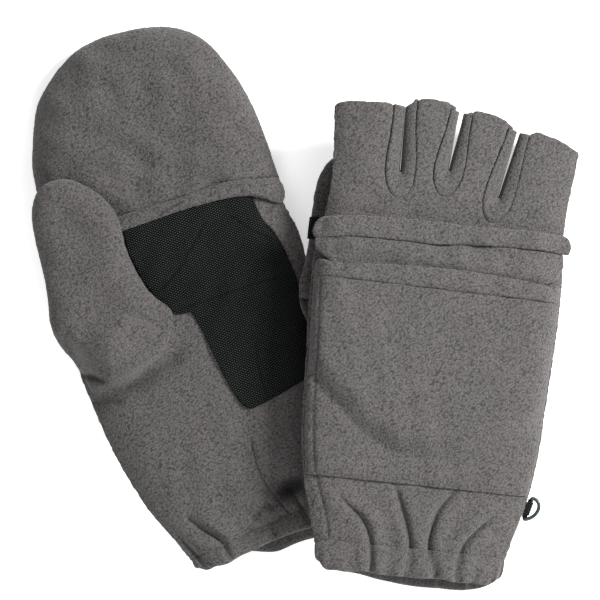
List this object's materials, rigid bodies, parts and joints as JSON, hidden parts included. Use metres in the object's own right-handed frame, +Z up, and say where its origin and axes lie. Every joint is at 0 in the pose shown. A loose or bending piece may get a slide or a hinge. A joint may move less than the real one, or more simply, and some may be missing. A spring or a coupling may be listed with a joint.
{
  "type": "convertible flip-top mittens",
  "caption": "Pair of fleece fingerless gloves with flip-back mitten hoods, back-of-hand pockets, covered thumbs, nylon palm patches and clip rings.",
  "frame": {"origin": "middle of the pair's bounding box, on the surface that they lie on", "axes": "+X to the right, +Y up the fingers, +Z up from the surface"},
  "size_m": [0.2598, 0.2715, 0.0457],
  "materials": {
    "fleece": "short pebbled pile, warm mid grey",
    "nylon": "black woven nylon, fine ribbed grid",
    "elastic": "knitted elastic band",
    "ring": "dark green-black enamel wire"
  },
  "bodies": {
    "left_glove": {"left_back_panel": "fleece", "left_cuff_casing": "fleece", "left_cuff_elastic": "elastic", "left_d_ring_tab": "nylon", "left_fourchette_index_middle": "fleece", "left_fourchette_middle_ring": "fleece", "left_fourchette_ring_little": "fleece", "left_palm_panel": "fleece", "left_palm_patch": "nylon", "left_pocket_hem": "fleece", "left_pocket_panel": "fleece", "left_thumb_gusset": "fleece"},
    "left_hood": {"left_hood_back_panel": "fleece", "left_hood_hem": "fleece", "left_hood_palm_panel": "fleece"},
    "left_thumb": {"left_thumb_inner": "fleece", "left_thumb_outer": "fleece", "left_thumb_patch": "nylon"},
    "left_d_ring": {"left_d_ring": "ring"},
    "right_glove": {"right_back_panel": "fleece", "right_cuff_casing": "fleece", "right_cuff_elastic": "elastic", "right_d_ring_tab": "nylon", "right_fourchette_index_middle": "fleece", "right_fourchette_middle_ring": "fleece", "right_fourchette_ring_little": "fleece", "right_palm_panel": "fleece", "right_palm_patch": "nylon", "right_pocket_hem": "fleece", "right_pocket_panel": "fleece", "right_thumb_gusset": "fleece"},
    "right_hood": {"right_hood_back_panel": "fleece", "right_hood_hem": "fleece", "right_hood_palm_panel": "fleece"},
    "right_thumb": {"right_thumb_inner": "fleece", "right_thumb_outer": "fleece", "right_thumb_patch": "nylon"},
    "right_d_ring": {"right_d_ring": "ring"}
  },
  "joints": [
    {"name": "left_hood_flip", "type": "hinge", "parent": "left_glove", "child": "left_hood", "pos_m": [-0.06569, 0.04004, 0.00367], "axis": [-0.9703, -0.2419, 0], "range_deg": [0, 180], "deforming": ["left_hood_palm_panel", "left_hood_hem", "left_pocket_panel", "left_pocket_hem"]},
    {"name": "left_thumb_lift", "type": "hinge", "parent": "left_glove", "child": "left_thumb", "pos_m": [-0.05583, 0.00106, 0.031], "axis": [0.9628, 0.2704, 0], "range_deg": [0, 70]},
    {"name": "left_d_ring_swing", "type": "hinge", "parent": "left_glove", "child": "left_d_ring", "pos_m": [0.02521, -0.05446, 0.0082], "axis": [-0.1718, 0.9851, 0], "range_deg": [-60, 60]},
    {"name": "right_glove_lift", "type": "slide", "parent": "left_glove", "child": "right_glove", "axis": [0, 0, 1], "range_m": [0, 0.12]},
    {"name": "right_hood_flip", "type": "hinge", "parent": "right_glove", "child": "right_hood", "pos_m": [0.06433, 0.03577, 0.02855], "axis": [-0.9648, 0.1014, 0.2425], "range_deg": [0, 180], "deforming": ["right_hood_palm_panel", "right_hood_hem", "right_pocket_panel", "right_pocket_hem"]},
    {"name": "right_thumb_drop", "type": "hinge", "parent": "right_glove", "child": "right_thumb", "pos_m": [0.06013, -0.00421, 0.00365], "axis": [-0.9648, 0.1014, 0.2425], "range_deg": [0, 60]},
    {"name": "right_d_ring_swing", "type": "hinge", "parent": "right_glove", "child": "right_d_ring", "pos_m": [0.10507, -0.0942, 0.00462], "axis": [0.3602, 0.9329, 0], "range_deg": [-60, 60]}
  ],
  "couplings": [
    {"joint": "right_thumb_drop", "follows": "right_glove_lift", "rad_per_m": 8.7}
  ]
}
